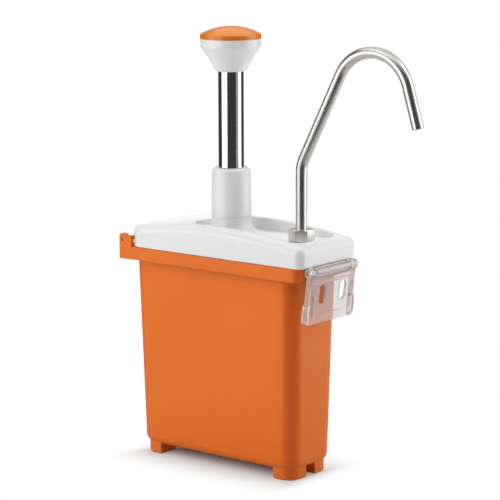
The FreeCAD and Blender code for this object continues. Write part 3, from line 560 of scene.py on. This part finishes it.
def tube(centre: np.ndarray, side: np.ndarray, up: np.ndarray, radius: np.ndarray,
         columns: int) -> np.ndarray:
    """Rings round a path: each point is the path plus radius times (cos a of side plus sin a of up).

    Args:
        centre: path points, rows by 3.
        side: unit vectors square to the path.
        up: unit vectors square to both.
        radius: radius at each row.
        columns: points in each ring.

    Returns:
        The grid of points.
    """
    angle = np.linspace(0.0, 2.0 * np.pi, columns, endpoint=False)
    spread = np.cos(angle)[None, :, None] * side[:, None, :] + np.sin(angle)[None, :, None] * up[:, None, :]
    return centre[:, None, :] + radius[:, None, None] * spread


def softened(name: str, node: str, width: float, segments: int, sharp: float) -> bpy.types.Object:
    """Copy a solid, join its loose triangles into faces and round its outer edges.

    Args:
        name: the piece's name.
        node: the solid to copy.
        width: reach of the rounding from each edge, in metres.
        segments: faces across the rounding.
        sharp: smallest angle between the faces of an edge that gets it, in radians.

    Returns:
        The new object.
    """
    mesh = bpy.data.meshes.new(name)
    work = bmesh.new()
    work.from_mesh(frame["nodes"][node].data)
    bmesh.ops.remove_doubles(work, verts=work.verts, dist=SAME_POINT)
    bmesh.ops.dissolve_limit(work, angle_limit=SAME_PLANE, verts=work.verts, edges=work.edges)
    edges = [edge for edge in work.edges if edge.is_manifold and edge.is_convex
             and edge.calc_face_angle() > sharp]
    bmesh.ops.bevel(work, geom=edges, offset=width, segments=segments, profile=ROUND_PROFILE,
                    affect="EDGES")
    bmesh.ops.remove_doubles(work, verts=work.verts, dist=SAME_CORNER)
    bmesh.ops.dissolve_degenerate(work, dist=SAME_POINT, edges=work.edges)
    work.to_mesh(mesh)
    work.free()
    mesh.polygons.foreach_set("use_smooth", np.ones(len(mesh.polygons), bool))
    mesh.set_sharp_from_angle(angle=sharp)
    piece = linked(name, mesh)
    flat = piece.modifiers.new("flat_faces", "WEIGHTED_NORMAL")
    flat.weight = FLAT_FACE_WEIGHT
    flat.keep_sharp = True
    return piece


@dataclass
class Assembly:
    """A sub-assembly: solids that it dresses, and pieces that it builds."""

    wardrobe: Wardrobe
    solids: dict[str, Look] = field(default_factory=dict)
    pieces: list[bpy.types.Object] = field(default_factory=list)

    def dress(self) -> None:
        """Give each of the assembly's solids its finish."""
        for name, look in self.solids.items():
            self.wardrobe.dress(frame["nodes"][name], look)
            LOG.info("%s wears %s", name, look.value.name)

    def build(self) -> None:
        """Make the assembly's own pieces, if it has any."""

    def stand_for(self, piece: bpy.types.Object, node: str, body: Body, look: Look) -> None:
        """Let a new piece take a node's place, ride on its body and wear a finish.

        Args:
            piece: the new piece.
            node: the solid that it stands for.
            body: the body that it rides on.
            look: its finish.
        """
        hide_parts(node)
        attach(piece, body.value)
        self.wardrobe.dress(piece, look)
        self.pieces.append(piece)


@dataclass
class ContainerAssembly(Assembly):
    """The orange container and the pin of its lid."""

    solids: dict[str, Look] = field(default_factory=lambda: {
        "container": Look.SHELL,
        "lid_hinge_pin": Look.PIN,
    })


@dataclass
class LidAssembly(Assembly):
    """The white lid with its gasket, and the clear clip on its pin."""

    solids: dict[str, Look] = field(default_factory=lambda: {
        "lid": Look.WHITE,
        "lid_gasket": Look.SEAL,
        "latch_clip": Look.CLEAR,
        "latch_pin": Look.PIN,
    })
    clip_edge: float = 0.0007
    clip_edge_faces: int = 3
    clip_edge_sharp: float = math.radians(40.0)

    def build(self) -> None:
        """Round the clip's edges, which catch the light."""
        piece = softened("clear_clip", "latch_clip", self.clip_edge, self.clip_edge_faces,
                         self.clip_edge_sharp)
        self.stand_for(piece, "latch_clip", Body.LATCH, Look.CLEAR)


@dataclass
class PlungerAssembly(Assembly):
    """Knob, cap, bright tube and piston, which go down together."""

    solids: dict[str, Look] = field(default_factory=lambda: {
        "knob": Look.WHITE,
        "knob_cap": Look.CAP,
        "knob_screw": Look.PIN,
        "plunger_plug": Look.PIN,
        "plunger_tube": Look.BRIGHT,
        "piston": Look.NATURAL,
        "piston_seals": Look.SEAL,
        "piston_pin": Look.PIN,
    })


@dataclass
class PumpAssembly(Assembly):
    """Tower, cylinder and valve of the pump, with its return spring as a wound wire."""

    solids: dict[str, Look] = field(default_factory=lambda: {
        "pump_tower": Look.WHITE,
        "tower_wiper": Look.SEAL,
        "guide_bush": Look.NATURAL,
        "pump_cylinder": Look.NATURAL,
        "cylinder_gasket": Look.SEAL,
        "foot_valve": Look.NATURAL,
        "inlet_ball": Look.SPRING,
        "inlet_ball_stop": Look.NATURAL,
        "pickup_tube": Look.NATURAL,
        "strainer": Look.NATURAL,
        "return_spring": Look.SPRING,
    })
    stroke_joint: str = "pump_stroke"
    turns: int = 7
    wire: float = 0.001
    end_gap: float = 0.0001
    columns: int = 12
    rows_per_turn: int = 40

    def stroke(self) -> float:
        """Length of the pump's stroke in metres, from the record."""
        joints = frame["record"]["behaviour"]["joints"]
        return next(joint["range_m"][1] for joint in joints if joint["name"] == self.stroke_joint)

    def build(self) -> None:
        """Carry a round section along a helix.

        The helix is (r cos a, r sin a, climb times a) from the foot of the spring's solid, where r is its
        mean radius. The section's radius is wire.
        """
        low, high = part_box("return_spring")
        middle = (low + high) / 2
        mean = (high.x - low.x) / 2 - self.wire
        angle = np.linspace(0.0, 2.0 * np.pi * self.turns, self.turns * self.rows_per_turn + 1)
        climb = (high.z - low.z - 2 * (self.wire + self.end_gap)) / angle[-1]
        zero = np.zeros_like(angle)
        out = np.stack([np.cos(angle), np.sin(angle), zero], -1)
        ahead = np.stack([-mean * np.sin(angle), mean * np.cos(angle), zero + climb], -1)
        ahead /= np.linalg.norm(ahead, axis=1, keepdims=True)
        centre = out * mean + np.stack([zero, zero, climb * angle], -1)
        centre += np.array([middle.x, middle.y, low.z + self.wire + self.end_gap])
        radius = np.full(len(angle), self.wire)
        grid = tube(centre, out, np.cross(ahead, out), radius, self.columns)
        piece = surface("return_spring_coil", grid, angle * mean, False)
        self.stand_for(piece, "return_spring", Body.LID, Look.SPRING)
        length = high.z - low.z
        (length - self.stroke()) / length
        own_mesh(piece)


@dataclass
class SpoutAssembly(Assembly):
    """Fitting, nut and the bent steel spout, with its rolled tip and bore."""

    solids: dict[str, Look] = field(default_factory=lambda: {
        "spout_tube": Look.BRUSHED,
        "spout_nut": Look.BRUSHED,
        "spout_washer": Look.BRUSHED,
        "spout_ferrule": Look.PIN,
        "spout_fitting": Look.NATURAL,
        "fitting_gasket": Look.SEAL,
        "discharge_tube": Look.NATURAL,
        "outlet_ball": Look.SPRING,
        "outlet_ball_pin": Look.PIN,
    })
    corner_rise: float = 0.0815
    corner_radius: float = 0.030
    slant_run: float = 0.1095
    crook_radius: float = 0.0458
    tip_run: float = 0.0432
    lean: float = math.radians(27.2)
    tip_lean: float = math.radians(16.8)
    radius: float = 0.006
    wall: float = 0.001
    columns: int = 64
    lip_faces: int = 8
    step: float = 0.0015

    def headings(self) -> tuple[np.ndarray, np.ndarray]:
        """Lengths and bends of the route: straight, bend, straight, crook, straight.

        Returns:
            The lengths of the five stretches and the angle from upright at each of their six ends.
        """
        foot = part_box("spout_tube")[0].z
        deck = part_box("spout_washer")[0].z
        setback = self.corner_radius * math.tan(self.lean / 2)
        crook_turn = math.pi - self.tip_lean - self.lean
        lengths = np.array([deck + self.corner_rise - setback - foot, self.corner_radius * self.lean,
                            self.slant_run - setback, self.crook_radius * crook_turn, self.tip_run])
        ends = np.array([0.0, 0.0, self.lean, self.lean, math.pi - self.tip_lean, math.pi - self.tip_lean])
        return lengths, ends

    def route(self) -> tuple[np.ndarray, np.ndarray, np.ndarray]:
        """Centre line of the tube.

        The angle from upright is piecewise linear in the length, so the line is straight runs and arcs: its
        slope is (sin a, 0, cos a), summed along the length from the foot.

        Returns:
            The points, the angle at each and the length at each.
        """
        lengths, ends = self.headings()
        knots = np.concatenate([[0.0], np.cumsum(lengths)])
        count = int(knots[-1] / self.step) + 1
        length = np.union1d(np.linspace(0.0, knots[-1], count), knots)
        angle = np.interp(length, knots, ends)
        middle = (angle[1:] + angle[:-1]) / 2
        half_turn = np.diff(angle) / 2
        chord = np.diff(length) * np.sinc(half_turn / np.pi)
        low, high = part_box("spout_washer")
        start = np.array([(low.x + high.x) / 2, 0.0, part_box("spout_tube")[0].z])
        steps = np.stack([chord * np.sin(middle), np.zeros_like(chord), chord * np.cos(middle)], -1)
        return np.vstack([start, start + np.cumsum(steps, 0)]), angle, length

    def build(self) -> None:
        """Carry the wall's section along the route: outside up, round the tip, bore back down.

        Each ring lies square to the route. The tip is a half circle across the wall, so its rings go by its
        cosine in radius and by its sine along the route.
        """
        points, angle, length = self.route()
        lip = np.linspace(0.0, np.pi, self.lip_faces + 1)[1:-1]
        half = self.wall / 2
        tip = np.array([np.sin(angle[-1]), 0.0, np.cos(angle[-1])])
        lip_points = points[-1] + np.outer((np.sin(lip) - 1.0) * half, tip)
        shift = points.copy()
        shift[-1] = points[-1] - half * tip
        centre = np.vstack([shift, lip_points, shift[::-1]])
        radius = np.concatenate([np.full(len(points), self.radius), self.radius - half + half * np.cos(lip),
                                 np.full(len(points), self.radius - self.wall)])
        turn = np.concatenate([angle, np.full(len(lip), angle[-1]), angle[::-1]])
        side = np.stack([np.cos(turn), np.zeros_like(turn), -np.sin(turn)], -1)
        across = np.tile([0.0, 1.0, 0.0], (len(turn), 1))
        along = np.concatenate([length, np.full(len(lip), length[-1]), length[::-1]])
        grid = tube(centre, side, across, radius, self.columns)
        piece = surface("spout_pipe", grid, along, True)
        self.stand_for(piece, "spout_tube", Body.LID, Look.PIPE)


@dataclass(frozen=True)
class Lamp:
    """A rectangular lamp that faces the object.

    Its azimuth counts from the camera's and its elevation from level, in degrees. Distance and size, which
    is width by height, are in metres, and power is in watts. Shiny surfaces show a lamp that is mirrored.
    """

    name: str
    azimuth: float
    elevation: float
    distance: float
    size: Span
    power: float
    mirrored: bool = True


@dataclass(frozen=True)
class Card:
    """A card, bent round the object, that only reflections see, unless it is also a fill light.

    It goes from start to end, in degrees from the camera's azimuth. Grey is its brightness, and its profile
    holds the radius and height of each of its bends, in metres.
    """

    name: str
    start: float
    end: float
    grey: float
    profile: tuple[Span, ...]
    fill: bool = False


@dataclass
class Studio:
    """Camera, lamps, cards, floor and white surroundings."""

    camera_azimuth: float = 38.88
    camera_pitch: float = 10.16
    camera_roll: float = -0.2
    camera_place: Point = (1.4188, -1.8086, 0.6525)
    lens: float = 158.4
    sensor: float = 36.0
    aim_height: float = 0.24
    floor_radius: float = 6.0
    floor_sides: int = 96
    paper: float = 0.74
    paper_painted_shade: float = 0.62
    # The paper's darker tone near the container is painted shade.
    foot_height: float = 0.006
    shadow_reach: Span = (-0.04, 0.06)
    shadow_stretch: float = 2.5
    ambient: float = 0.15
    card_columns: int = 24
    card_radius: float = 1.25
    card_foot: float = 0.005
    front_height: float = 1.9
    front_edge: Span = (0.40, 0.004)
    side_height: float = 1.45
    band_heights: Span = (0.85, 1.75)
    back_heights: Span = (0.5, 1.05)
    fill_radii: Span = (0.75, 2.0)
    fill_height: float = 0.006
    ceiling: float = 2.6
    lamps: tuple[Lamp, ...] = (
        Lamp("left_softbox", azimuth=-64.0, elevation=27.0, distance=1.6, size=(1.88, 2.1), power=25.5),
        Lamp("right_softbox", azimuth=90.0, elevation=27.0, distance=1.6, size=(1.33, 2.1), power=18.0),
        Lamp("top_softbox", azimuth=175.0, elevation=66.0, distance=1.7, size=(1.4, 1.4), power=22.0,
             mirrored=False),
    )

    def camera(self) -> None:
        """Stand the camera where the photograph was taken from."""
        data = bpy.data.cameras.new("camera")
        data.lens = self.lens
        data.sensor_width = self.sensor
        piece = linked("camera", data)
        turn = Matrix.Rotation(math.radians(self.camera_azimuth), 4, "Z")
        tilt = Matrix.Rotation(math.radians(90.0 - self.camera_pitch), 4, "X")
        roll = Matrix.Rotation(math.radians(self.camera_roll), 4, "Z")
        piece.matrix_world = Matrix.Translation(self.camera_place) @ turn @ tilt @ roll
        bpy.context.scene.camera = piece

    def softbox(self, plan: Lamp) -> None:
        """Hang a lamp along (sin a cos e, -cos a cos e, sin e), for its azimuth a and elevation e.

        Args:
            plan: the lamp's place, size and power.
        """
        data = bpy.data.lights.new(plan.name, "AREA")
        data.shape = "RECTANGLE"
        data.size, data.size_y = plan.size
        data.energy = plan.power
        lamp = linked(plan.name, data)
        a = math.radians(self.camera_azimuth + plan.azimuth)
        e = math.radians(plan.elevation)
        out = Vector((math.sin(a) * math.cos(e), -math.cos(a) * math.cos(e), math.sin(e)))
        lamp.location = Vector((0.0, 0.0, self.aim_height)) + out * plan.distance
        lamp.rotation_euler = (-out).to_track_quat("-Z", "Y").to_euler()
        lamp.visible_camera = False
        lamp.visible_glossy = plan.mirrored

    def flag(self, plan: Card) -> None:
        """Stand a card: its points are the profile's radius times (sin a, -cos a), at the profile's height.

        Args:
            plan: the card's edges, bends and grey.
        """
        ahead = self.camera_azimuth
        a = np.radians(np.linspace(ahead + plan.start, ahead + plan.end, self.card_columns))
        bends = np.array(plan.profile)
        ring = np.stack([np.sin(a), -np.cos(a), np.zeros_like(a)], -1)
        verts = bends[:, None, :1] * ring[None] + bends[:, None, 1:] * np.array([0.0, 0.0, 1.0])
        i, j = np.meshgrid(np.arange(len(bends) - 1), np.arange(len(a) - 1), indexing="ij")
        first = (i * len(a) + j).ravel()
        faces = np.stack([first, first + 1, first + 1 + len(a), first + len(a)], -1)
        mesh = bpy.data.meshes.new(plan.name)
        mesh.from_pydata(verts.reshape(-1, 3).tolist(), [], faces.tolist())
        card = linked(plan.name, mesh)
        made = bpy.data.materials.new(plan.name)
        graph = Graph(made)
        graph.close(graph.node("ShaderNodeEmission", {}, {"Color": opaque((plan.grey,) * 3)}).out())
        mesh.materials.append(made)
        for ray in ("camera", "transmission", "volume_scatter", "shadow"):
            setattr(card, "visible_" + ray, False)
        card.visible_diffuse = plan.fill

    def footprint(self) -> tuple[np.ndarray, np.ndarray]:
        """Plan of what the container rests on.

        Returns:
            Its low and high corner.
        """
        mesh = frame["nodes"]["container"].data
        points = np.empty(len(mesh.vertices) * 3, np.float32)
        mesh.vertices.foreach_get("co", points)
        points = points.reshape(-1, 3)
        resting = points[points[:, 2] < self.foot_height, :2]
        return resting.min(0), resting.max(0)

    def floor(self) -> None:
        """Lay a pale disc that keeps the object's shadow and fades into the white surroundings.

        Tone and glow grow with the distance from the container's plan: outside it the length of (stretch
        times (|x - middle| - half), |y - middle| - half), inside it the larger of the two, below 0.
        The darker tone near the plan is painted shade, on top of the real shadow.
        """
        turn = np.linspace(0.0, 2.0 * np.pi, self.floor_sides, endpoint=False)
        verts = np.column_stack([np.cos(turn), np.sin(turn), np.zeros_like(turn)]) * self.floor_radius
        mesh = bpy.data.meshes.new("floor")
        mesh.from_pydata(verts.tolist(), [], [list(range(self.floor_sides))])
        piece = linked("floor", mesh)
        made = bpy.data.materials.new("floor")
        graph = Graph(made)
        low, high = self.footprint()
        middle = ((low + high) / 2).tolist()
        half = ((high - low) / 2).tolist()
        x, y, _ = graph.axes()
        past_x = abs(x - middle[0]) - half[0]
        past_y = abs(y - middle[1]) - half[1]
        inside = past_x.at_least(past_y).at_most(0.0)
        past_x = past_x.at_least(0.0) * self.shadow_stretch
        past_y = past_y.at_least(0.0)
        outside = (past_x * past_x + past_y * past_y) ** 0.5
        reach = (outside + inside).ramp(*self.shadow_reach)
        glow = graph.seen_by("Is Camera Ray", "Is Transmission Ray") * reach
        # Painted shade: the paper darkens towards the container's plan, deepening its shadow.
        painted_shade_tone = graph.mix(reach, (self.paper_painted_shade,) * 3, (self.paper,) * 3)
        paper = graph.node("ShaderNodeBsdfDiffuse", {}, {"Color": painted_shade_tone}).out()
        white = graph.node("ShaderNodeEmission", {}, {"Color": opaque(WHITE_LIGHT)}).out()
        graph.close(graph.node("ShaderNodeMixShader", {}, [glow, paper, white]).out())
        mesh.materials.append(made)

    def world(self) -> None:
        """White for what the camera, mirrors and clear plastic see, and a soft fill for the rest."""
        made = bpy.data.worlds.new("surroundings")
        bpy.context.scene.world = made
        graph = Graph(made)
        seen = graph.seen_by("Is Camera Ray", "Is Glossy Ray", "Is Transmission Ray")
        strength = self.ambient + seen * (1.0 - self.ambient)
        inputs = {"Color": opaque(WHITE_LIGHT), "Strength": strength}
        glow = graph.node("ShaderNodeBackground", {}, inputs).out()
        graph.node("ShaderNodeOutputWorld", {}, {"Surface": glow})

    def upright(self, low: float, high: float) -> tuple[Span, Span]:
        """Profile of a card that stands at the cards' radius, from a low to a high edge."""
        return (self.card_radius, low), (self.card_radius, high)

    def cards(self) -> tuple[Card, ...]:
        """Plan the cards: dark to grey in front, at the sides and behind, bright on the right and overhead.

        Returns:
            The cards in the order in which they are made.
        """
        front = (self.front_edge, *self.upright(self.card_foot, self.front_height))
        side = self.upright(self.card_foot, self.side_height)
        band = self.upright(*self.band_heights)
        back = self.upright(*self.back_heights)
        low = tuple((radius, self.fill_height) for radius in self.fill_radii)
        overhead = ((0.0, self.ceiling), (self.card_radius, self.ceiling))
        minus_y = -self.camera_azimuth
        return (
            Card("front_flag", start=-38.0, end=46.0, grey=0.045, profile=front),
            Card("grey_flag", start=46.0, end=67.0, grey=0.35, profile=front),
            Card("left_flag", start=-165.0, end=-96.0, grey=0.05, profile=side),
            Card("right_flag", start=113.0, end=165.0, grey=0.05, profile=side),
            Card("left_band", start=-96.0, end=-38.0, grey=0.08, profile=band),
            Card("back_flag", start=165.0, end=195.0, grey=0.30, profile=back),
            Card("right_card", start=68.0, end=125.0, grey=3.0, profile=low, fill=True),
            Card("top_flag", start=minus_y, end=minus_y + 360.0, grey=1.2, profile=overhead),
        )

    def build(self) -> None:
        """Set up the whole studio."""
        self.camera()
        self.world()
        self.floor()
        for card in self.cards():
            self.flag(card)
        for lamp in self.lamps:
            self.softbox(lamp)
        bpy.context.scene.view_settings.view_transform = "Standard"


def main() -> None:
    """Build the sub-assemblies in order and report each piece."""
    logging.basicConfig(level=logging.INFO, format="%(name)s: %(message)s")
    wardrobe = Wardrobe()
    for kind in (ContainerAssembly, LidAssembly, PumpAssembly, PlungerAssembly, SpoutAssembly):
        assembly = kind(wardrobe)
        assembly.dress()
        assembly.build()
        for piece in assembly.pieces:
            LOG.info("piece %s has %d faces", piece.name, len(piece.data.polygons))
    Studio().build()


if __name__ == "__main__":
    main()
